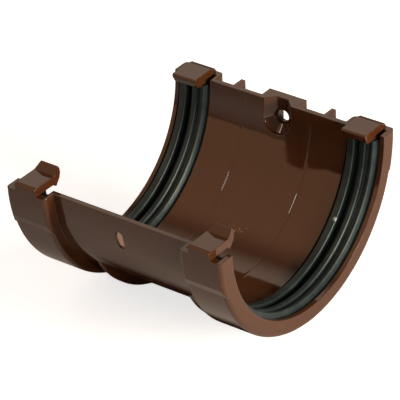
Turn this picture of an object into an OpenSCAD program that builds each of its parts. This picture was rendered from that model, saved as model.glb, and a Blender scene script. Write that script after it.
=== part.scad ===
// Half-round gutter union: a moulded bracket that joins two gutter runs end to end
// and screws to a fascia board, with one rubber seal strip in each socket.
// X runs along the gutter, +Y faces the fascia board, +Z is up.
// The origin is the centre line of the gutter at the level of the rims.

/* [Gutter run] */
// Outer radius of the gutter that the sockets take
gutter_r = 56; // [45:0.5:70]
// Gap between the gutter and the trough wall
gutter_gap = 1.5; // [1:0.1:2.5]

/* [Trough] */
// Length of the trough between the sockets
middle_l = 73; // [65:1:140]
// Wall of the trough
trough_wall = 2.5; // [1.8:0.1:4]

/* [Sockets] */
// Length of each socket along the gutter
socket_l = 22; // [20:0.5:34]
// Depth of the seal channel below the trough wall
channel_d = 5.5; // [4.5:0.1:8]
// Wall of a socket behind its seal
socket_wall = 2.5; // [1.8:0.1:4]
// Thickness of the flange at the open end
end_flange = 2.2; // [1.5:0.1:3]
// Thickness of the flange next to the trough
inner_flange = 1.9; // [1.4:0.1:3]
// Radius on the outer edges of a socket
edge_r = 2; // [0.8:0.1:2.2]
// Height of the thicker band above the socket wall
band_t = 0.8; // [0.5:0.1:1.5]
// Depth of the thicker band below the rim
band_h = 15; // [10:0.5:25]
// Height of the slope that ends the band
band_slope_h = 3.5; // [2:0.5:6]

/* [Ribs] */
// Distance between the two ribs
rib_pitch = 50.8; // [36:0.5:60]
// Thickness of a rib
rib_t = 2.2; // [1.5:0.1:4]
// Radius of a rib's outer edge less the trough's outer radius
rib_extra = -1; // [-2:0.1:0.5]
// Height of the straight back edge of a rib
rib_back_h = 13.1; // [10:0.1:16]

/* [Screw boss] */
// Width of the boss
boss_w = 20.6; // [18:0.2:28]
// Height of the boss
boss_h = 22; // [19:0.5:30]
// Radius of the screw hole
screw_r = 3; // [2:0.1:3.3]
// Depth of the screw hole's centre below the rim
screw_z = 9.4; // [8:0.1:10.5]
// Thickness of the plate under the screw head
screw_plate = 2; // [1.2:0.1:3]
// Radius of the seat for the screw head
seat_r = 4.2; // [3.8:0.1:5]
// Depth of the seat for the screw head
seat_d = 1.4; // [0.8:0.1:2]
// Depth of the relief slot behind the plate
relief_d = 2.3; // [1:0.1:3]
// Height of the relief slot behind the plate
relief_h = 10; // [8:0.5:14]
// Radius of the screw pocket at its mouth
mouth_r = 8; // [7:0.1:8.4]
// Radius of the screw pocket at its back wall
pocket_r = 3; // [2.4:0.1:3.6]
// Depth of the screw pocket's round bottom centre below the rim
pocket_z = 8; // [7:0.1:9]
// Depth of the splayed part of the screw pocket
splay_d = 5; // [4:0.1:6]

/* [Front recess] */
// Width of the recess in the front wall
recess_w = 4; // [3:0.5:7]
// Height of the recess in the front wall
recess_h = 9.5; // [8:0.5:14]
// Place of the recess along the gutter
recess_x = -1.5; // [-12:0.5:12]
// Depth of the recess's centre below the rim
recess_z = 12.6; // [10:0.1:18]
// Depth of the recess into the wall
recess_d = 0.8; // [0.6:0.1:1.3]

/* [Front clips] */
// Width of a front clip
front_clip_w = 11.5; // [8:0.5:14]
// Height of a front clip above the rim
front_clip_h = 3.8; // [3:0.1:6]
// Reach of a front clip past the gutter's outer face
front_clip_reach = 7.5; // [6:0.1:9]
// Drop of a front clip's underside below the rim
front_clip_drop = 0.2; // [0:0.1:0.4]
// Depth of the hook below a front clip
hook_h = 1.5; // [0.8:0.1:2.5]
// Width of the hook across the gutter's edge
hook_w = 4.7; // [4:0.1:5.5]
// Height of the thumb tab above a front clip
tab_h = 4.4; // [2:0.1:6]
// Width of the thumb tab at its root
tab_w = 3.8; // [3:0.1:4.6]
// Slant of the thumb tab's near corner
tab_slant = 2.6; // [0:0.1:4]

/* [Back clips] */
// Width of a back clip
back_clip_w = 13; // [8:0.5:15]
// Height of a back clip above the rim
back_clip_h = 2.9; // [2.5:0.1:5]
// Reach of a back clip past the gutter's outer face
back_clip_reach = 6.8; // [5:0.1:8]
// Drop of a back clip's underside below the rim
back_clip_drop = 2.2; // [1:0.1:3]
// Slope of a back clip's nose
nose_slope = 1.8; // [0.5:0.1:3]

/* [Seals] */
// Drop of a seal's front end below the rim
seal_front_drop = 3.5; // [1.2:0.1:6]
// Squeeze of the seal's crests on the gutter
seal_squeeze = 1; // [0.3:0.1:1.5]
// Clearance between a seal and the channel that holds it
seal_gap = 0.3; // [0.2:0.05:0.5]
// Depth of the groove beside the wide crest
groove_d = 4; // [2:0.1:4.5]
// Depth of the groove between the two narrow crests
small_groove_d = 1.8; // [1:0.1:3]
// Depth of the seal's side edges below its crests
side_d = 3; // [2:0.1:4]

/* [Hidden] */
$fn = 96;
// Overshoot of a cutter past the face that it opens
cut = 1;
// Rounding of the clips' edges and of the seals' crests
soft_r = 0.5;
trough_r = gutter_r + gutter_gap;
shell_r = trough_r + trough_wall;
channel_r = trough_r + channel_d;
socket_r = channel_r + socket_wall;
band_r = socket_r + band_t;
fascia_y = band_r;
half_l = middle_l / 2 + socket_l;
channel_w = socket_l - end_flange - inner_flange;
seal_x = half_l - end_flange - channel_w / 2;
leg_t = band_r - channel_r;
rib_r = shell_r + rib_extra;
// Length of the trough's wall with its ends inside the sockets' inner flanges
trough_l = middle_l + inner_flange;
root_t = leg_t / 2;
// Depth and inset of a clip's root inside the socket's wall
root_h = band_h / 4;
foot_t = leg_t / 4;
pocket_back_y = fascia_y - relief_d - screw_plate;
pocket_mouth_y = pocket_back_y - splay_d;

function unit(v) = v / norm(v);

// Points of one rounded corner b between its neighbours a and c
function corner(a, b, c, r, steps = 4) =
    let (
        to_a = unit(a - b),
        to_c = unit(c - b),
        half = acos(max(-1, min(1, to_a * to_c))) / 2,
        room = 0.45 * min(norm(a - b), norm(c - b)),
        rr = min(r, room * tan(half)),
        mid = b + unit(to_a + to_c) * rr / sin(half),
        first = b + to_a * rr / tan(half) - mid,
        last = b + to_c * rr / tan(half) - mid,
        turn_raw = atan2(last[1], last[0]) - atan2(first[1], first[0]),
        turn = turn_raw > 180 ? turn_raw - 360 : turn_raw < -180 ? turn_raw + 360 : turn_raw
    )
    [for (i = [0:steps])
        let (t = turn * i / steps)
        mid + [first[0] * cos(t) - first[1] * sin(t), first[0] * sin(t) + first[1] * cos(t)]];

// Outline with a radius for each corner; a radius of 0 keeps the corner sharp
function soft_outline(pts, radii) =
    [for (i = [0:len(pts) - 1])
        each radii[i] == 0 ? [pts[i]] :
            corner(pts[(i + len(pts) - 1) % len(pts)], pts[i], pts[(i + 1) % len(pts)], radii[i])];

// Half turn about the gutter's centre line, below the rims; the outline is [radius, x]
module half_turn() {
    rotate([0, 90, 0])
        rotate([0, 0, -90])
            rotate_extrude(angle = 180)
                children();
}

// Round bar along the gutter's centre line
module along_x(r, x0, x1) {
    translate([x0, 0, 0])
        rotate([0, 90, 0])
            cylinder(r = r, h = x1 - x0);
}

// Outline of a socket's wall with both outer edges rounded
module socket_outline(outer_r, e) {
    x0 = middle_l / 2;
    inner = trough_r;
    translate([inner, x0])
        square([outer_r - e - inner, socket_l]);
    translate([inner, x0 + e])
        square([outer_r - inner, socket_l - 2 * e]);
    translate([outer_r - e, x0 + e])
        circle(r = e);
    translate([outer_r - e, x0 + socket_l - e])
        circle(r = e);
}

// Region beside the gutter's centre plane where the thicker band lies
module band_region(side) {
    far = band_r + cut;
    foot = socket_r * cos(asin((band_h + band_slope_h) / socket_r));
    head = band_r * cos(asin(band_h / band_r));
    slope = (head - foot) / band_slope_h;
    low = band_h + band_slope_h + cut;
    x0 = middle_l / 2 - cut;
    mirror([0, side < 0 ? 1 : 0, 0])
        rotate([90, 0, 90])
            translate([0, 0, x0])
                linear_extrude(height = socket_l + 2 * cut)
                    polygon([
                        [trough_r / 2, cut],
                        [far, cut],
                        [far, -band_h + (far - head) / slope],
                        [foot - slope * cut, -low],
                        [trough_r / 2, -low]
                    ]);
}

// Socket at the +X end, with its channel and its two flanges
module socket() {
    difference() {
        union() {
            half_turn()
                socket_outline(socket_r, edge_r);
            for (side = [-1, 1])
                intersection() {
                    half_turn()
                        socket_outline(band_r, edge_r);
                    band_region(side);
                }
        }
        along_x(channel_r, middle_l / 2 + inner_flange, half_l - end_flange);
    }
}

// Rib under the trough, with its back edge on the fascia plane
module rib(x) {
    translate([x - rib_t / 2, 0, 0])
        rotate([90, 0, 90])
            linear_extrude(height = rib_t)
                difference() {
                    intersection() {
                        union() {
                            translate([fascia_y - rib_r, -rib_back_h])
                                circle(r = rib_r);
                            translate([0, -rib_back_h])
                                square([fascia_y, rib_back_h]);
                        }
                        translate([-band_r, -2 * rib_r])
                            square([2 * band_r, 2 * rib_r]);
                    }
                    circle(r = trough_r + trough_wall / 2);
                }
}

// Boss that carries the screw, from the trough wall to the fascia plane
module boss() {
    difference() {
        translate([-boss_w / 2, 0, -boss_h])
            cube([boss_w, fascia_y, boss_h]);
        along_x(trough_r + trough_wall / 2, -boss_w, boss_w);
    }
}

// Bar along Y with a round bottom and open upwards
module round_channel(r, y0, y1) {
    translate([0, y0, -pocket_z])
        rotate([-90, 0, 0])
            cylinder(r = r, h = y1 - y0);
    translate([-r, y0, -pocket_z])
        cube([2 * r, y1 - y0, pocket_z + cut]);
}

// Space for the screw: open pocket, splayed sides, hole and relief slot
module screw_space() {
    round_channel(mouth_r, trough_r / 2, pocket_mouth_y);
    translate([0, pocket_mouth_y, -pocket_z])
        rotate([-90, 0, 0])
            cylinder(r1 = mouth_r, r2 = pocket_r, h = splay_d);
    translate([0, 0, -pocket_z])
        linear_extrude(height = pocket_z + cut)
            polygon([
                [-mouth_r, pocket_mouth_y],
                [mouth_r, pocket_mouth_y],
                [pocket_r, pocket_back_y],
                [-pocket_r, pocket_back_y]
            ]);
    translate([0, pocket_back_y - seat_d, -screw_z])
        rotate([-90, 0, 0])
            cylinder(r = seat_r, h = seat_d);
    translate([0, pocket_back_y - seat_d, -screw_z])
        rotate([-90, 0, 0])
            cylinder(r = screw_r, h = fascia_y);
    translate([-screw_r, fascia_y - relief_d, -screw_z + screw_r - relief_h])
        cube([2 * screw_r, relief_d + cut, relief_h]);
}

// Upright oval recess in the outside of the front wall; its floor follows the wall
module front_recess() {
    straight = recess_h - recess_w;
    difference() {
        translate([recess_x, -trough_r / 2, -recess_z])
            rotate([90, 0, 0]) {
                translate([-recess_w / 2, -straight / 2, 0])
                    cube([recess_w, straight, trough_r]);
                for (end = [-1, 1])
                    translate([0, end * straight / 2, 0])
                        cylinder(r = recess_w / 2, h = trough_r);
            }
        along_x(shell_r - recess_d, recess_x - recess_w, recess_x + recess_w);
    }
}

// Front clip at the given place: leg, tongue, thumb tab and hook.
// The outline is [distance inwards from the socket's outer face, height above the rim].
module front_clip(x) {
    nose = band_r - gutter_r + front_clip_reach;
    under = -front_clip_drop;
    fold = edge_r * 0.8;
    tab_root = nose - tab_w;
    tab_tip = nose - tab_w * 0.4;
    tab_mid = front_clip_h + tab_h / 2;
    pts = [
        [0, 0],
        [0, front_clip_h - fold / 2],
        [fold, front_clip_h],
        [tab_root, front_clip_h],
        [(tab_root + tab_tip) / 2, tab_mid],
        [tab_tip, front_clip_h + tab_h],
        [nose - soft_r / 2, tab_mid],
        [nose, front_clip_h],
        [nose - hook_w * 0.15, front_clip_h * 0.4],
        [nose - hook_w * 0.68, under - hook_h],
        [nose - hook_w, under - soft_r],
        [nose - hook_w, under],
        [leg_t + edge_r / 2, under],
        [leg_t, under - soft_r],
        [root_t, under - soft_r],
        [root_t, -root_h],
        [foot_t, -root_h]
    ];
    radii = [0, soft_r, soft_r, soft_r, edge_r, soft_r, edge_r, edge_r,
        edge_r, soft_r, 0, 0, soft_r, 0, 0, 0, 0];
    top = front_clip_h + tab_h + cut;
    difference() {
        translate([x - front_clip_w / 2, -band_r, 0])
            rotate([90, 0, 90])
                linear_extrude(height = front_clip_w)
                    polygon(soft_outline(pts, radii));
        translate([x, 0, 0])
            rotate([90, 0, 0])
                linear_extrude(height = band_r)
                    polygon([
                        [-front_clip_w / 2 - cut, front_clip_h],
                        [-front_clip_w / 2, front_clip_h],
                        [-front_clip_w / 2 + tab_slant, front_clip_h + tab_h],
                        [-front_clip_w / 2 + tab_slant, top],
                        [-front_clip_w / 2 - cut, top]
                    ]);
    }
}

// Back clip at the given place, with its back edge on the fascia plane
module back_clip(x) {
    nose = band_r - gutter_r + back_clip_reach;
    under = -back_clip_drop;
    pts = [
        [0, 0],
        [leg_t * 0.4, back_clip_h * 0.7],
        [leg_t * 1.3, back_clip_h],
        [nose - soft_r, back_clip_h],
        [nose, back_clip_h * 0.6],
        [nose - nose_slope, under + soft_r],
        [nose - nose_slope - edge_r / 2, under],
        [root_t, under],
        [root_t, -root_h],
        [foot_t, -root_h]
    ];
    radii = [0, soft_r, soft_r, soft_r, edge_r, soft_r, soft_r, 0, 0, 0];
    translate([x + back_clip_w / 2, band_r, 0])
        rotate([90, 0, -90])
            linear_extrude(height = back_clip_w)
                polygon(soft_outline(pts, radii));
}

// One moulding: trough, two sockets, two ribs, boss and four clips
module body() {
    color("#5b3a24")
        union() {
            difference() {
                union() {
                    half_turn()
                        translate([trough_r, -trough_l / 2])
                            square([trough_wall, trough_l]);
                    for (x = [-rib_pitch / 2, rib_pitch / 2])
                        rib(x);
                    boss();
                }
                screw_space();
                front_recess();
            }
            for (end = [0, 1])
                mirror([end, 0, 0])
                    socket();
            for (x = [-seal_x, seal_x]) {
                front_clip(x);
                back_clip(x);
            }
        }
}

// Seal strip centred at the given place, with one wide and two narrow crests
module seal(x) {
    half_w = channel_w / 2 - seal_gap;
    back = channel_r - seal_gap;
    crest = gutter_r - seal_squeeze;
    side = crest + side_d;
    deep = crest + groove_d;
    shallow = crest + small_groove_d;
    unit_w = half_w / 8.6;
    pts = [
        [back, -half_w],
        [side, -half_w],
        [side, -7.4 * unit_w],
        [crest, -6.8 * unit_w],
        [crest, -3.4 * unit_w],
        [deep, -2.6 * unit_w],
        [deep, -0.2 * unit_w],
        [crest, 0.5 * unit_w],
        [crest, 2.5 * unit_w],
        [shallow, 3.3 * unit_w],
        [shallow, 5 * unit_w],
        [crest, 5.7 * unit_w],
        [crest, 6.9 * unit_w],
        [side, 7.6 * unit_w],
        [side, half_w],
        [back, half_w]
    ];
    radii = [0, 0, 0, soft_r, soft_r, soft_r, soft_r, soft_r,
        soft_r, soft_r, soft_r, soft_r, soft_r, 0, 0, 0];
    reach = channel_r + cut;
    back_end = back_clip_drop + seal_gap;
    color("#1a1a1a")
        difference() {
            translate([x, 0, 0])
                half_turn()
                    polygon(soft_outline(pts, radii));
            translate([x - channel_w, -reach, -seal_front_drop])
                cube([2 * channel_w, reach, reach]);
            translate([x - channel_w, 0, -back_end])
                cube([2 * channel_w, reach, reach]);
        }
}

module seal_left() {
    seal(-seal_x);
}

module seal_right() {
    seal(seal_x);
}

body();
seal_left();
seal_right();
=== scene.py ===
"""Looks of a half-round gutter union: gloss brown moulding, two black seals, soft white studio."""

import logging
import math
from dataclasses import dataclass, field
from enum import Enum
from typing import Any

import bmesh
import bpy
from mathutils import Matrix, Vector


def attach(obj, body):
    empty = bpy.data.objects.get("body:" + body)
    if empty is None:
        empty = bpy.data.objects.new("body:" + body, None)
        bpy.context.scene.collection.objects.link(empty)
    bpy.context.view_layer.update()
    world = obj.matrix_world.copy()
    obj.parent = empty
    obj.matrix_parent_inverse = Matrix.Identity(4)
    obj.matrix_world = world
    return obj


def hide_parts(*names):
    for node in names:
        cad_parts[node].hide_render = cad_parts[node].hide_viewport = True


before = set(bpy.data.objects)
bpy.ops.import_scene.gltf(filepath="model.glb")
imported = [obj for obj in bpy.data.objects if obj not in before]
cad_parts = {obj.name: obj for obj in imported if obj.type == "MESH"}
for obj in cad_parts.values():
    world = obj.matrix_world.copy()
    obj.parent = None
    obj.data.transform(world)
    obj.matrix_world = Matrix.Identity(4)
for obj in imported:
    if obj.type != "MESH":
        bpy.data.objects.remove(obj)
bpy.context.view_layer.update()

LOG = logging.getLogger("gutter_union")
MM = 0.001
# Base of the bell curves in the relief
BELL_BASE = 2.718
# What feeds a node's input: a socket, or a node for its first output
Source = bpy.types.NodeSocket | bpy.types.Node


class Socket(Enum):
    """The two ends of the union, by the sign of X."""

    LEFT = -1
    RIGHT = 1


def linear(hex_colour: str) -> tuple[float, float, float, float]:
    """Turn an sRGB hex colour to linear light.

    Args:
        hex_colour: six hex digits, with or without a leading hash.

    Returns:
        Red, green, blue and alpha.
    """
    digits = hex_colour.lstrip("#")
    out = []
    for i in (0, 2, 4):
        c = int(digits[i:i + 2], 16) / 255
        out.append(c / 12.92 if c <= 0.04045 else ((c + 0.055) / 1.055) ** 2.4)
    return (out[0], out[1], out[2], 1.0)


def add_node(
    tree: bpy.types.NodeTree,
    kind: str,
    settings: dict[int | str, Any] | None = None,
    links: dict[int | str, Source] | None = None,
) -> bpy.types.Node:
    """Add one node with its settings and its incoming links.

    Args:
        tree: node tree to add to.
        kind: Blender's type name of the node.
        settings: node properties by name, and input values by socket name or number.
        links: what to join to each input, by the input's name or number.

    Returns:
        The new node.
    """
    node = tree.nodes.new(kind)
    for key, value in (settings or {}).items():
        if isinstance(key, str) and hasattr(node, key):
            setattr(node, key, value)
        else:
            node.inputs[key].default_value = value
    for key, source in (links or {}).items():
        output = source.outputs[0] if isinstance(source, bpy.types.Node) else source
        tree.links.new(output, node.inputs[key])
    return node


def square_sum(tree: bpy.types.NodeTree, a: Source, b: Source) -> bpy.types.Node:
    """Sum of the squares of two values.

    Args:
        tree: node tree to add to.
        a: first value.
        b: second value.

    Returns:
        The node that gives the sum.
    """
    a_square = add_node(tree, "ShaderNodeMath", {"operation": "MULTIPLY"}, {0: a, 1: a})
    b_square = add_node(tree, "ShaderNodeMath", {"operation": "MULTIPLY"}, {0: b, 1: b})
    return add_node(tree, "ShaderNodeMath", {"operation": "ADD"}, {0: a_square, 1: b_square})


def new_material(name: str) -> tuple[bpy.types.Material, bpy.types.NodeTree]:
    """Make an empty node material.

    Args:
        name: the material's name.

    Returns:
        The material and its cleared node tree.
    """
    material = bpy.data.materials.new(name)
    material.use_nodes = True
    material.node_tree.nodes.clear()
    return material, material.node_tree


@dataclass(frozen=True)
class GlossPvc:
    """Unplasticised PVC, injection moulded in a polished tool.

    The tool's polish gives a gloss with sharp reflections, a very faint waviness,
    and two faint lines round the wall; the brown pigment is deep and warm. The real
    grain is finer than a pixel, so it is drawn as coarse as it needs to show.
    """

    name: str = "gloss_brown_pvc"
    colour: str = "#422615"
    deep_colour: str = "#3c2212"
    flow_mm: float = 18.0
    ior: float = 1.53
    roughness: float = 0.06
    rough_patch: float = 0.03
    haze_mm: float = 7.0
    haze_span: tuple[float, float] = (0.35, 0.75)
    edge_mm: float = 0.45
    wave_mm: float = 9.0
    wave_height_mm: float = 0.045
    grain_mm: float = 0.8
    grain_height_mm: float = 0.0012
    # The trough's inner radius, and how far outside it the lines and the ring still show
    trough_mm: float = 57.5
    trough_reach_mm: float = 0.6
    line_x_mm: float = 19.0
    line_half_mm: float = 0.55
    line_height_mm: float = 0.06
    # The witness ring: its middle in X and Y, its half sizes, its line's width as a share of them
    ring_mm: tuple[float, float] = (0.2, 38.0)
    ring_half_mm: tuple[float, float] = (6.3, 8.0)
    ring_share: float = 0.075
    ring_height_mm: float = 0.028
    dust_colour: str = "#a8896f"
    dust_at_mm: tuple[float, float, float] = (-2.5, 24.5, -52.0)
    dust_r_mm: float = 6.5
    dust_speck_mm: float = 1.1
    dust_gather: float = 0.16
    dust_span: tuple[float, float] = (0.70, 0.76)
    dust_share: float = 0.5
    # The pale, rougher patch: its middle and half sizes in X and Z, and the radius of the recess's floor
    pale_patch_colour: str = "#c3a593"
    pale_patch_at_mm: tuple[float, float] = (-1.5, -12.6)
    pale_patch_half_mm: tuple[float, float] = (2.1, 4.9)
    pale_patch_r_mm: float = 59.2
    pale_patch_reach_mm: float = 0.2
    pale_patch_fleck_mm: float = 0.9
    pale_patch_fleck_share: float = 0.9
    pale_patch_span: tuple[float, float] = (1.65, 1.1)
    pale_patch_roughness: float = 0.5

    def build(self) -> bpy.types.Material:
        """Build the node material.

        Returns:
            The finished material.
        """
        material, tree = new_material(self.name)
        place = add_node(tree, "ShaderNodeTexCoord").outputs["Object"]
        x, y, z = add_node(tree, "ShaderNodeSeparateXYZ", links={0: place}).outputs
        pale_patch = self._pale_patch(tree, place, x, y, z)
        shade = add_node(tree, "ShaderNodeMix", {"data_type": "RGBA", 7: linear(self.pale_patch_colour)},
                         {"Factor": pale_patch, 6: self._pigment(tree, place)})
        rough = add_node(tree, "ShaderNodeMix", {"B": self.pale_patch_roughness},
                         {"Factor": pale_patch, "A": self._roughness(tree, place)})
        height = self._relief(tree, place, x, y, z)
        rounded = add_node(tree, "ShaderNodeBevel", {"samples": 8, "Radius": self.edge_mm * MM})
        bump = add_node(tree, "ShaderNodeBump", {"Strength": 1.0, "Distance": 1.0},
                        {"Height": height, "Normal": rounded})
        shader = add_node(tree, "ShaderNodeBsdfPrincipled", {"IOR": self.ior},
                          {"Base Color": shade.outputs[2], "Roughness": rough, "Normal": bump})
        add_node(tree, "ShaderNodeOutputMaterial", links={"Surface": shader})
        return material

    def _pale_patch(
        self,
        tree: bpy.types.NodeTree,
        place: bpy.types.NodeSocket,
        x: bpy.types.NodeSocket,
        y: bpy.types.NodeSocket,
        z: bpy.types.NodeSocket,
    ) -> bpy.types.Node:
        """Pale, rougher patch on the floor of the front recess.

        Args:
            tree: node tree to add to.
            place: the point on the object.
            x: along the gutter.
            y: towards the fascia.
            z: up.

        Returns:
            The node that gives the patch's mask, 0 to 1.
        """
        along, up = (
            add_node(tree, "ShaderNodeMath", {"operation": "DIVIDE", 1: half * MM}, {
                0: add_node(tree, "ShaderNodeMath", {"operation": "SUBTRACT", 1: middle * MM}, {0: axis})})
            for axis, middle, half in zip((x, z), self.pale_patch_at_mm, self.pale_patch_half_mm))
        fleck = add_node(tree, "ShaderNodeTexNoise",
                         {"Scale": 1 / (self.pale_patch_fleck_mm * MM), "Detail": 4.0}, {"Vector": place})
        fray = add_node(tree, "ShaderNodeMath", {"operation": "MULTIPLY", 1: self.pale_patch_fleck_share},
                        {0: fleck})
        ragged = add_node(tree, "ShaderNodeMath", {"operation": "ADD"},
                          {0: square_sum(tree, along, up), 1: fray})
        outer, inner = self.pale_patch_span
        spot = add_node(tree, "ShaderNodeMapRange",
                        {"From Min": outer, "From Max": inner, "To Max": 1.0}, {"Value": ragged})
        radius = add_node(tree, "ShaderNodeMath", {"operation": "SQRT"}, {0: square_sum(tree, y, z)})
        above = add_node(tree, "ShaderNodeMath", {"operation": "SUBTRACT", 1: self.pale_patch_r_mm * MM},
                         {0: radius})
        away = add_node(tree, "ShaderNodeMath", {"operation": "ABSOLUTE"}, {0: above})
        on_floor = add_node(tree, "ShaderNodeMath",
                            {"operation": "LESS_THAN", 1: self.pale_patch_reach_mm * MM}, {0: away})
        in_front = add_node(tree, "ShaderNodeMath", {"operation": "LESS_THAN", 1: 0.0}, {0: y})
        floor = add_node(tree, "ShaderNodeMath", {"operation": "MULTIPLY"}, {0: on_floor, 1: in_front})
        return add_node(tree, "ShaderNodeMath", {"operation": "MULTIPLY"}, {0: spot, 1: floor})

    def _pigment(self, tree: bpy.types.NodeTree, place: bpy.types.NodeSocket) -> bpy.types.NodeSocket:
        """Pigment flow, a slow, faint change between two browns, and a few dust specks.

        Args:
            tree: node tree to add to.
            place: the point on the object.

        Returns:
            The colour's socket.
        """
        flow = add_node(tree, "ShaderNodeTexNoise", {"Scale": 1 / (self.flow_mm * MM), "Detail": 3.0},
                        {"Vector": place})
        brown = add_node(tree, "ShaderNodeMix", {
            "data_type": "RGBA", 6: linear(self.colour), 7: linear(self.deep_colour)}, {"Factor": flow})
        speck = add_node(tree, "ShaderNodeTexNoise",
                         {"Scale": 1 / (self.dust_speck_mm * MM), "Detail": 2.0}, {"Vector": place})
        away = add_node(tree, "ShaderNodeVectorMath", {
            "operation": "DISTANCE", 1: tuple(c * MM for c in self.dust_at_mm)}, {0: place}).outputs["Value"]
        fade = add_node(tree, "ShaderNodeMapRange",
                        {"From Min": self.dust_r_mm * MM, "From Max": 0.0, "To Max": self.dust_gather},
                        {"Value": away})
        grain = add_node(tree, "ShaderNodeMath", {"operation": "ADD"}, {0: speck, 1: fade})
        bare, full = self.dust_span
        dust = add_node(tree, "ShaderNodeMapRange",
                        {"From Min": bare, "From Max": full, "To Max": self.dust_share}, {"Value": grain})
        within = add_node(tree, "ShaderNodeMath", {"operation": "LESS_THAN", 1: self.dust_r_mm * MM},
                          {0: away})
        near = add_node(tree, "ShaderNodeMath", {"operation": "MULTIPLY"}, {0: dust, 1: within})
        dusty = add_node(tree, "ShaderNodeMix", {"data_type": "RGBA", 7: linear(self.dust_colour)},
                         {"Factor": near, 6: brown.outputs[2]})
        return dusty.outputs[2]

    def _roughness(self, tree: bpy.types.NodeTree, place: bpy.types.NodeSocket) -> bpy.types.Node:
        """Handling haze: soft patches where the polish is a little duller.

        Args:
            tree: node tree to add to.
            place: the point on the object.

        Returns:
            The node that gives the roughness.
        """
        haze = add_node(tree, "ShaderNodeTexNoise", {"Scale": 1 / (self.haze_mm * MM), "Detail": 5.0},
                        {"Vector": place})
        low, high = self.haze_span
        return add_node(tree, "ShaderNodeMapRange",
                        {"From Min": low, "From Max": high, "To Min": self.roughness,
                         "To Max": self.roughness + self.rough_patch},
                        {"Value": haze})

    def _relief(
        self,
        tree: bpy.types.NodeTree,
        place: bpy.types.NodeSocket,
        x: bpy.types.NodeSocket,
        y: bpy.types.NodeSocket,
        z: bpy.types.NodeSocket,
    ) -> bpy.types.Node:
        """Height in metres: waviness, fine grain, two faint lines and a witness ring.

        Args:
            tree: node tree to add to.
            place: the point on the object.
            x: along the gutter.
            y: towards the fascia.
            z: up.

        Returns:
            The node that gives the height.
        """
        waves, grains = (
            add_node(tree, "ShaderNodeMath", {"operation": "MULTIPLY", 1: height * MM}, {
                0: add_node(tree, "ShaderNodeTexNoise", {"Scale": 1 / (size * MM), "Detail": detail},
                            {"Vector": place})})
            for size, detail, height in (
                (self.wave_mm, 1.0, self.wave_height_mm), (self.grain_mm, 2.0, self.grain_height_mm)))
        radius = add_node(tree, "ShaderNodeMath", {"operation": "SQRT"}, {0: square_sum(tree, y, z)})
        inside = add_node(tree, "ShaderNodeMath", {
            "operation": "LESS_THAN", 1: (self.trough_mm + self.trough_reach_mm) * MM}, {0: radius})
        side = add_node(tree, "ShaderNodeMath", {"operation": "ABSOLUTE"}, {0: x})
        off = add_node(tree, "ShaderNodeMath", {"operation": "SUBTRACT", 1: self.line_x_mm * MM}, {0: side})
        to_line = add_node(tree, "ShaderNodeMath", {"operation": "DIVIDE", 1: self.line_half_mm * MM},
                           {0: off})
        line = self._ridge(tree, to_line, inside, self.line_height_mm)
        ring = self._ridge(tree, self._to_ring(tree, x, y, z), inside, self.ring_height_mm)
        surface = add_node(tree, "ShaderNodeMath", {"operation": "ADD"}, {0: waves, 1: grains})
        marks = add_node(tree, "ShaderNodeMath", {"operation": "ADD"}, {0: line, 1: ring})
        return add_node(tree, "ShaderNodeMath", {"operation": "ADD"}, {0: surface, 1: marks})

    def _to_ring(
        self,
        tree: bpy.types.NodeTree,
        x: bpy.types.NodeSocket,
        y: bpy.types.NodeSocket,
        z: bpy.types.NodeSocket,
    ) -> bpy.types.Node:
        """Distance from the witness ring's line, which lies on the trough's curve.

        Args:
            tree: node tree to add to.
            x: along the gutter.
            y: towards the fascia.
            z: up.

        Returns:
            The node that gives the distance, in widths of the line.
        """
        middle_x, middle_y = self.ring_mm
        half_x, half_arc = self.ring_half_mm
        down = add_node(tree, "ShaderNodeMath", {"operation": "MULTIPLY", 1: -1.0}, {0: z})
        angle = add_node(tree, "ShaderNodeMath", {"operation": "ARCTAN2"}, {0: y, 1: down})
        turned = add_node(tree, "ShaderNodeMath", {
            "operation": "SUBTRACT", 1: math.asin(middle_y / self.trough_mm)}, {0: angle})
        arc = add_node(tree, "ShaderNodeMath", {"operation": "MULTIPLY", 1: self.trough_mm / half_arc},
                       {0: turned})
        shifted = add_node(tree, "ShaderNodeMath", {"operation": "SUBTRACT", 1: middle_x * MM}, {0: x})
        along = add_node(tree, "ShaderNodeMath", {"operation": "DIVIDE", 1: half_x * MM}, {0: shifted})
        reach = add_node(tree, "ShaderNodeMath", {"operation": "SQRT"}, {0: square_sum(tree, along, arc)})
        past = add_node(tree, "ShaderNodeMath", {"operation": "SUBTRACT", 1: 1.0}, {0: reach})
        return add_node(tree, "ShaderNodeMath", {"operation": "DIVIDE", 1: self.ring_share}, {0: past})

    def _ridge(
        self, tree: bpy.types.NodeTree, distance: Source, inside: Source, height_mm: float
    ) -> bpy.types.Node:
        """A low ridge with the section of a bell curve, inside the trough only.

        Args:
            tree: node tree to add to.
            distance: distance from the ridge's middle, in its own widths.
            inside: 1 inside the trough, else 0.
            height_mm: how high it stands.

        Returns:
            The node that gives its height in metres.
        """
        square = add_node(tree, "ShaderNodeMath", {"operation": "MULTIPLY"}, {0: distance, 1: distance})
        minus = add_node(tree, "ShaderNodeMath", {"operation": "MULTIPLY", 1: -1.0}, {0: square})
        curve = add_node(tree, "ShaderNodeMath", {"operation": "POWER", 0: BELL_BASE}, {1: minus})
        kept = add_node(tree, "ShaderNodeMath", {"operation": "MULTIPLY"}, {0: curve, 1: inside})
        return add_node(tree, "ShaderNodeMath", {"operation": "MULTIPLY", 1: height_mm * MM}, {0: kept})


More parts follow.
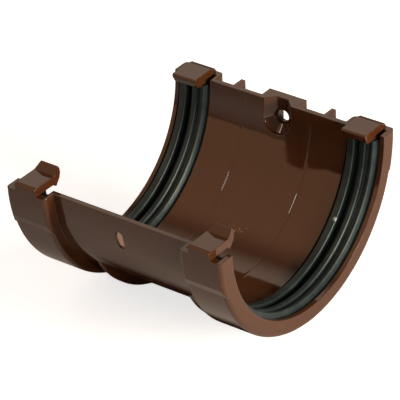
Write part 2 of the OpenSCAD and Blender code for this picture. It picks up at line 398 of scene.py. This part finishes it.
@dataclass(frozen=True)
class SealRubber:
    """EPDM rubber, extruded as a strip and cut to length.

    The die leaves fine lines along the strip, and the black has a dull satin sheen
    with grey patches, partly rubber blooming and partly a painted sheen. The real lines
    are finer than a pixel, so they are drawn as coarse as they need to show.
    """

    name: str = "black_epdm_rubber"
    colour: str = "#141d20"
    # Grey patches over the black: partly rubber blooming, partly a painted sheen
    bloom_and_sheen_colour: str = "#2c3a3d"
    bloom_and_sheen_mm: float = 6.0
    bloom_and_sheen_span: tuple[float, float] = (0.45, 0.8)
    bloom_and_sheen_share: float = 0.55
    bloom_roughness: float = 0.14
    ior: float = 1.5
    sheen_tint: tuple[float, float, float, float] = (0.72, 0.92, 1.0, 1.0)
    roughness: float = 0.33
    line_mm: float = 0.5
    line_height_mm: float = 0.02
    line_strength: float = 0.5
    scuff_colour: str = "#a3b2b6"
    scuff_at_mm: tuple[float, float, float] = (43.4, 39.2, -38.6)
    scuff_r_mm: float = 1.3
    scuff_fleck_mm: float = 0.7
    scuff_span: tuple[float, float] = (1.4, 0.9)
    scuff_share: float = 0.8

    def build(self) -> bpy.types.Material:
        """Build the node material.

        Returns:
            The finished material.
        """
        material, tree = new_material(self.name)
        place = add_node(tree, "ShaderNodeTexCoord").outputs["Object"]
        x, y, z = add_node(tree, "ShaderNodeSeparateXYZ", links={0: place}).outputs
        radius = add_node(tree, "ShaderNodeVectorMath", {"operation": "LENGTH"}, {
            0: add_node(tree, "ShaderNodeCombineXYZ", links={1: y, 2: z})})
        profile = add_node(tree, "ShaderNodeCombineXYZ", links={0: x, 1: radius.outputs["Value"]})
        lines = add_node(tree, "ShaderNodeTexNoise", {"Scale": 1 / (self.line_mm * MM), "Detail": 2.0},
                         {"Vector": profile})
        bump = add_node(tree, "ShaderNodeBump", {
            "Strength": self.line_strength, "Distance": self.line_height_mm * MM}, {"Height": lines})
        bloom_and_sheen = add_node(tree, "ShaderNodeTexNoise", {"Scale": 1 / (self.bloom_and_sheen_mm * MM), "Detail": 6.0},
                         {"Vector": place})
        rough = add_node(tree, "ShaderNodeMapRange", {
            "To Min": self.roughness, "To Max": self.roughness + self.bloom_roughness}, {"Value": bloom_and_sheen})
        shader = add_node(tree, "ShaderNodeBsdfPrincipled",
                          {"IOR": self.ior, "Specular Tint": self.sheen_tint},
                          {"Base Color": self._colour(tree, place, bloom_and_sheen), "Roughness": rough,
                           "Normal": bump})
        add_node(tree, "ShaderNodeOutputMaterial", links={"Surface": shader})
        return material

    def _colour(
        self, tree: bpy.types.NodeTree, place: bpy.types.NodeSocket, bloom_and_sheen: bpy.types.Node
    ) -> bpy.types.NodeSocket:
        """Black with grey patches, partly rubber blooming and partly a painted sheen, and one pale scuff.

        Args:
            tree: node tree to add to.
            place: the point on the object.
            bloom_and_sheen: the pattern of the grey patches.

        Returns:
            The colour's socket.
        """
        # Painted sheen, partly blooming: grey patches mixed into the black
        bare, full = self.bloom_and_sheen_span
        patch = add_node(tree, "ShaderNodeMapRange",
                         {"From Min": bare, "From Max": full, "To Max": self.bloom_and_sheen_share},
                         {"Value": bloom_and_sheen})
        black = add_node(tree, "ShaderNodeMix", {
            "data_type": "RGBA", 6: linear(self.colour), 7: linear(self.bloom_and_sheen_colour)}, {"Factor": patch})
        away = add_node(tree, "ShaderNodeVectorMath", {
            "operation": "DISTANCE", 1: tuple(c * MM for c in self.scuff_at_mm)}, {0: place})
        reach = add_node(tree, "ShaderNodeMath", {"operation": "DIVIDE", 1: self.scuff_r_mm * MM},
                         {0: away.outputs["Value"]})
        fleck = add_node(tree, "ShaderNodeTexNoise",
                         {"Scale": 1 / (self.scuff_fleck_mm * MM), "Detail": 3.0}, {"Vector": place})
        ragged = add_node(tree, "ShaderNodeMath", {"operation": "ADD"}, {0: reach, 1: fleck})
        outer, inner = self.scuff_span
        scuff = add_node(tree, "ShaderNodeMapRange",
                         {"From Min": outer, "From Max": inner, "To Max": self.scuff_share},
                         {"Value": ragged})
        marked = add_node(tree, "ShaderNodeMix", {"data_type": "RGBA", 7: linear(self.scuff_colour)},
                          {"Factor": scuff, 6: black.outputs[2]})
        return marked.outputs[2]


@dataclass
class Moulding:
    """The body, one moulding; its CAD shape stays and gets its finish."""

    node: str = "body"
    finish: GlossPvc = field(default_factory=GlossPvc)

    def dress(self) -> bpy.types.Object:
        """Give the CAD node its material.

        Returns:
            The dressed node.
        """
        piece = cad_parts[self.node]
        piece.data.materials.clear()
        piece.data.materials.append(self.finish.build())
        return piece


@dataclass
class SealStrip:
    """One rubber strip in a socket: a wide crest, two narrow ones and the grooves between.

    The radii are from the gutter's centre line. Each pair gives places across the
    strip, from its middle: where a crest or groove starts and ends, or where the
    two outer steps are.
    """

    end: Socket
    centre_mm: float = 47.35
    half_mm: float = 8.65
    back_mm: float = 62.7
    side_mm: float = 58.0
    crest_mm: float = 55.0
    deep_mm: float = 59.0
    shallow_mm: float = 56.8
    step_at_mm: tuple[float, float] = (-7.44, 7.64)
    wide_crest_at_mm: tuple[float, float] = (-6.84, -3.42)
    deep_groove_at_mm: tuple[float, float] = (-2.62, -0.2)
    middle_crest_at_mm: tuple[float, float] = (0.5, 2.51)
    shallow_groove_at_mm: tuple[float, float] = (3.32, 5.03)
    outer_crest_at_mm: tuple[float, float] = (5.73, 6.94)
    soft_mm: float = 0.5
    soft_steps: int = 4
    front_drop_mm: float = 3.6
    back_drop_mm: float = 2.6
    turn_steps: int = 160
    merge_mm: float = 0.001
    sharp_deg: float = 40.0

    def _section(self) -> list[tuple[float, float, bool]]:
        """Corners of the section, in order round it.

        Returns:
            For each corner its radius, its place across and whether it is rounded.
        """
        forms = (
            (self.crest_mm, self.wide_crest_at_mm), (self.deep_mm, self.deep_groove_at_mm),
            (self.crest_mm, self.middle_crest_at_mm), (self.shallow_mm, self.shallow_groove_at_mm),
            (self.crest_mm, self.outer_crest_at_mm),
        )
        first_step, last_step = self.step_at_mm
        return [
            (self.back_mm, -self.half_mm, False),
            (self.side_mm, -self.half_mm, False),
            (self.side_mm, first_step, False),
            *((radius, across, True) for radius, places in forms for across in places),
            (self.side_mm, last_step, False),
            (self.side_mm, self.half_mm, False),
            (self.back_mm, self.half_mm, False),
        ]

    def build(self, material: bpy.types.Material) -> bpy.types.Object:
        """Build the strip by turning its section about the gutter's centre line.

        Args:
            material: the rubber, shared by both strips.

        Returns:
            The strip, which takes the CAD node's place.
        """
        node = "seal_left" if self.end is Socket.LEFT else "seal_right"
        middle = self.end.value * self.centre_mm * MM
        first = math.asin(self.back_drop_mm / self.crest_mm)
        last = math.pi - math.asin(self.front_drop_mm / self.crest_mm)
        shape = bmesh.new()
        corners = self._section()
        verts = [
            shape.verts.new((middle + across * MM, math.cos(first) * radius * MM,
                             -math.sin(first) * radius * MM))
            for radius, across, _ in corners]
        shape.faces.new(verts)
        soft = [vert for vert, corner in zip(verts, corners) if corner[2]]
        bmesh.ops.bevel(shape, geom=soft, affect="VERTICES", offset=self.soft_mm * MM,
                        segments=self.soft_steps, profile=0.5, material=-1)
        bmesh.ops.delete(shape, geom=list(shape.faces), context="FACES_ONLY")
        bmesh.ops.spin(shape, geom=list(shape.verts) + list(shape.edges), cent=(0, 0, 0), axis=(1, 0, 0),
                       dvec=(0, 0, 0), angle=-(last - first), steps=self.turn_steps,
                       use_merge=False, use_duplicate=False)
        bmesh.ops.remove_doubles(shape, verts=shape.verts, dist=self.merge_mm * MM)
        bmesh.ops.holes_fill(shape, edges=[e for e in shape.edges if e.is_boundary], sides=0)
        bmesh.ops.recalc_face_normals(shape, faces=shape.faces)
        for face in shape.faces:
            face.smooth = True
        for edge in shape.edges:
            edge.smooth = edge.calc_face_angle(math.pi) < math.radians(self.sharp_deg)
        mesh = bpy.data.meshes.new(f"{node}_strip")
        shape.to_mesh(mesh)
        shape.free()
        strip = bpy.data.objects.new(f"{node}_strip", mesh)
        bpy.context.scene.collection.objects.link(strip)
        mesh.materials.append(material)
        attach(strip, "root")
        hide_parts(node)
        return strip


@dataclass(frozen=True)
class FloorPaper:
    """Matt white paper that the object stands on.

    It has no gloss, and the camera sees it white away from the object's shadow. Under the
    object, painted shade darkens the paper for bounced light only, so the ribs stay dark.
    """

    name: str = "matt_white_paper"
    colour: str = "#dde3ea"
    lift: float = 0.72
    # Painted shade: dark paper under the object, seen by bounced light only
    painted_shade_colour: str = "#2b2d2e"
    painted_shade_half_mm: tuple[float, float] = (50.0, 42.0)
    painted_shade_span: tuple[float, float] = (0.75, 1.1)

    def build(self) -> bpy.types.Material:
        """Build the node material.

        Returns:
            The finished material.
        """
        material, tree = new_material(self.name)
        seen = add_node(tree, "ShaderNodeLightPath").outputs["Is Camera Ray"]
        place = add_node(tree, "ShaderNodeTexCoord").outputs["Object"]
        x, y, _ = add_node(tree, "ShaderNodeSeparateXYZ", links={0: place}).outputs
        along, across = (
            add_node(tree, "ShaderNodeMath", {"operation": "DIVIDE", 1: half * MM}, {
                0: add_node(tree, "ShaderNodeMath", {"operation": "ABSOLUTE"}, {0: axis})})
            for axis, half in zip((x, y), self.painted_shade_half_mm))
        spread = add_node(tree, "ShaderNodeMath", {"operation": "MAXIMUM"}, {0: along, 1: across})
        inner, outer = self.painted_shade_span
        clear = add_node(tree, "ShaderNodeMapRange",
                         {"interpolation_type": "SMOOTHSTEP", "From Min": inner, "From Max": outer},
                         {"Value": spread})
        # Painted shade under the object for bounced light; camera rays see plain paper
        open_floor = add_node(tree, "ShaderNodeMath", {"operation": "MAXIMUM"}, {0: clear, 1: seen})
        tone = add_node(tree, "ShaderNodeMix", {
            "data_type": "RGBA", 6: linear(self.painted_shade_colour), 7: linear(self.colour)},
            {"Factor": open_floor})
        paper = add_node(tree, "ShaderNodeBsdfDiffuse", links={"Color": tone.outputs[2]})
        glow = add_node(tree, "ShaderNodeEmission", {"Strength": self.lift})
        both = add_node(tree, "ShaderNodeAddShader", links={0: paper, 1: glow})
        pick = add_node(tree, "ShaderNodeMixShader", links={0: seen, 1: paper, 2: both})
        add_node(tree, "ShaderNodeOutputMaterial", links={"Surface": pick})
        return material


@dataclass(frozen=True)
class GlowPanel:
    """A soft bright patch of the surroundings.

    The patch is full inside inner_deg of its middle and gone at outer_deg. A
    half_width over 0 also trims it to an upright band that wide to each side.
    """

    towards: tuple[float, float, float]
    inner_deg: float
    outer_deg: float
    colour: tuple[float, float, float, float]
    half_width: float = 0.0


@dataclass(frozen=True)
class Softbox:
    """A soft lamp that faces the object.

    Its place and size are in metres. Its length runs along the given way, as near
    as its aim allows.
    """

    name: str
    place: tuple[float, float, float]
    size: tuple[float, float]
    watts: float
    colour: tuple[float, float, float]
    length: tuple[float, float, float] = (0.0, 0.0, 1.0)


@dataclass
class Studio:
    """Pale floor, surroundings that are white to the camera only, and three soft lamps."""

    floor_z_mm: float = -72.2
    floor_half_m: float = 4.0
    paper: FloorPaper = field(default_factory=FloorPaper)
    target: tuple[float, float, float] = (0.0, 0.0, -0.03)
    room_glow: tuple[float, float, float, float] = (0.165, 0.142, 0.115, 1.0)
    panels: tuple[GlowPanel, ...] = (
        GlowPanel((-0.53, 0.67, 0.53), 6.0, 30.0, (1.06, 0.84, 0.66, 1.0)),
        GlowPanel((-0.53, -0.66, 0.53), 34.0, 60.0, (1.10, 0.58, 0.32, 1.0), 0.24),
    )
    lamps: tuple[Softbox, ...] = (
        Softbox("side_softbox", (1.06, 0.06, 0.26), (0.35, 0.35), 21.0, (1.0, 0.80, 0.60)),
        Softbox("front_fill", (0.94, -0.42, 0.30), (0.30, 0.30), 3.4, (1.0, 0.84, 0.68)),
        Softbox("strip_lamp", (-0.75, -0.52, 0.66), (0.05, 0.30), 0.45, (1.0, 0.92, 0.84),
                (0.0, 0.787, 0.617)),
    )

    def build(self) -> None:
        """Build the floor, the world and the lamps."""
        self._floor()
        self._world()
        for lamp in self.lamps:
            self._lamp(lamp)

    def _floor(self) -> None:
        """Lay the paper floor just under the object's lowest point."""
        mesh = bpy.data.meshes.new("studio_floor")
        shape = bmesh.new()
        bmesh.ops.create_grid(shape, x_segments=1, y_segments=1, size=self.floor_half_m)
        bmesh.ops.translate(shape, verts=shape.verts, vec=Vector((0, 0, self.floor_z_mm * MM)))
        shape.to_mesh(mesh)
        shape.free()
        floor = bpy.data.objects.new("studio_floor", mesh)
        bpy.context.scene.collection.objects.link(floor)
        mesh.materials.append(self.paper.build())

    def _world(self) -> None:
        """Dim surroundings with two bright panels, plain white to the camera."""
        world = bpy.data.worlds.new("white_studio")
        bpy.context.scene.world = world
        world.use_nodes = True
        tree = world.node_tree
        tree.nodes.clear()
        seen = add_node(tree, "ShaderNodeLightPath").outputs["Is Camera Ray"]
        way = add_node(tree, "ShaderNodeTexCoord").outputs["Generated"]
        light = add_node(tree, "ShaderNodeRGB").outputs[0]
        light.default_value = self.room_glow
        for panel in self.panels:
            aim = Vector(panel.towards).normalized()
            facing = add_node(tree, "ShaderNodeVectorMath", {"operation": "DOT_PRODUCT", 1: tuple(aim)},
                              {0: way})
            share = add_node(tree, "ShaderNodeMapRange",
                             {"interpolation_type": "SMOOTHSTEP",
                              "From Min": math.cos(math.radians(panel.outer_deg)),
                              "From Max": math.cos(math.radians(panel.inner_deg))},
                             {"Value": facing.outputs["Value"]})
            if panel.half_width > 0:
                side = add_node(tree, "ShaderNodeSeparateXYZ", links={0: way})
                shifted = add_node(tree, "ShaderNodeMath", {"operation": "SUBTRACT", 1: aim.x}, {0: side})
                off = add_node(tree, "ShaderNodeMath", {"operation": "ABSOLUTE"}, {0: shifted})
                band = add_node(tree, "ShaderNodeMapRange",
                                {"interpolation_type": "SMOOTHSTEP", "From Min": panel.half_width,
                                 "From Max": panel.half_width / 2, "To Max": 1.0}, {"Value": off})
                share = add_node(tree, "ShaderNodeMath", {"operation": "MULTIPLY"}, {0: share, 1: band})
            mix = add_node(tree, "ShaderNodeMix", {"data_type": "RGBA", 7: panel.colour},
                           {"Factor": share, 6: light})
            light = mix.outputs[2]
        soft = add_node(tree, "ShaderNodeBackground", {"Strength": 1.0}, {"Color": light})
        plain = add_node(tree, "ShaderNodeBackground", {"Color": (1.0, 1.0, 1.0, 1.0), "Strength": 1.0})
        pick = add_node(tree, "ShaderNodeMixShader", links={0: seen, 1: soft, 2: plain})
        add_node(tree, "ShaderNodeOutputWorld", links={"Surface": pick})

    def _lamp(self, box: Softbox) -> None:
        """Set one softbox up and aim it at the object.

        Args:
            box: the softbox.
        """
        data = bpy.data.lights.new(box.name, "AREA")
        data.shape = "RECTANGLE"
        data.size, data.size_y = box.size
        data.energy = box.watts
        data.color = box.colour
        lamp = bpy.data.objects.new(box.name, data)
        away = (Vector(box.place) - Vector(self.target)).normalized()
        across = Vector(box.length).cross(away).normalized()
        turn = Matrix((across, away.cross(across), away)).transposed().to_4x4()
        lamp.matrix_world = Matrix.Translation(Vector(box.place)) @ turn
        bpy.context.scene.collection.objects.link(lamp)


@dataclass
class ProductCamera:
    """Long lens from the front right, above the rims; places are in metres."""

    place: tuple[float, float, float] = (0.691039, -0.877605, 0.670872)
    right: tuple[float, float, float] = (0.801456, 0.596198, -0.047071)
    back: tuple[float, float, float] = (0.526888, -0.666661, 0.527212)
    lens_mm: float = 264.226
    sensor_mm: float = 36.0
    near_m: float = 0.05
    far_m: float = 50.0

    def build(self) -> None:
        """Make the camera and set it as the scene's."""
        data = bpy.data.cameras.new("product_camera")
        data.lens = self.lens_mm
        data.sensor_width = self.sensor_mm
        data.clip_start = self.near_m
        data.clip_end = self.far_m
        camera = bpy.data.objects.new("product_camera", data)
        back = Vector(self.back).normalized()
        right = Vector(self.right)
        right = (right - back * right.dot(back)).normalized()
        up = back.cross(right)
        turn = Matrix((right, up, back)).transposed().to_4x4()
        camera.matrix_world = Matrix.Translation(Vector(self.place)) @ turn
        bpy.context.scene.collection.objects.link(camera)
        bpy.context.scene.camera = camera


def main() -> None:
    """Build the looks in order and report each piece."""
    logging.basicConfig(level=logging.INFO, format="%(name)s: %(message)s")
    bpy.context.scene.view_settings.view_transform = "Standard"
    ProductCamera().build()
    Studio().build()
    pieces = [Moulding().dress()]
    rubber = SealRubber().build()
    pieces += [SealStrip(end).build(rubber) for end in Socket]
    for piece in pieces:
        LOG.info("%s: %d faces", piece.name, len(piece.data.polygons))


if __name__ == "__main__":
    main()
